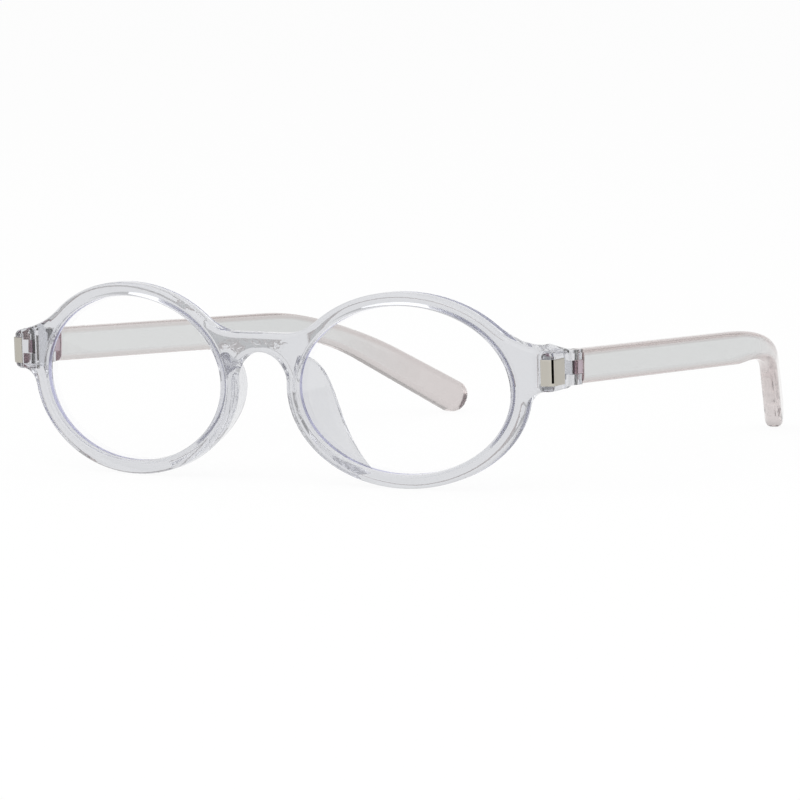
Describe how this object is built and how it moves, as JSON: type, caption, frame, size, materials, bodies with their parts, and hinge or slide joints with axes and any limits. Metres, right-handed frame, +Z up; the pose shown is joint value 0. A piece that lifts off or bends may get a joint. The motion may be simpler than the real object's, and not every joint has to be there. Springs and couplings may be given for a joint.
{
  "type": "oval eyeglasses",
  "caption": "Oval eyeglasses with a clear moulded front, built-in nose pads, clear lenses, metal corner plates and temples that fold on screwed hinges.",
  "frame": {"origin": "middle of the footprint, on the surface that the rims and temple tips stand on", "axes": "+X towards the wearer's left, +Y from the lenses back along the open temples, +Z up"},
  "size_m": [0.1334, 0.1524, 0.0406],
  "materials": {
    "clear_plastic": "polished clear",
    "temple_plastic": "polished clear, faint rose tint",
    "lens_plastic": "clear lens with a thin anti-reflection coat",
    "plate_metal": "satin champagne plating",
    "screw_steel": "machined"
  },
  "bodies": {
    "front": {"front_frame": "clear_plastic", "lens_left": "lens_plastic", "lens_right": "lens_plastic", "corner_plate_left": "plate_metal", "corner_plate_right": "plate_metal", "hinge_screw_left": "screw_steel", "hinge_screw_right": "screw_steel"},
    "temple_left": {"temple_left": "temple_plastic"},
    "temple_right": {"temple_right": "temple_plastic"}
  },
  "joints": [
    {"name": "temple_left_fold", "type": "hinge", "parent": "front", "child": "temple_left", "pos_m": [0.0644, -0.05767, 0.02512], "axis": [-0.002, 0.0325, 0.9995], "range_deg": [0, 84]},
    {"name": "temple_right_fold", "type": "hinge", "parent": "front", "child": "temple_right", "pos_m": [-0.0644, -0.05767, 0.02512], "axis": [-0.002, -0.0325, -0.9995], "range_deg": [0, 71]}
  ]
}
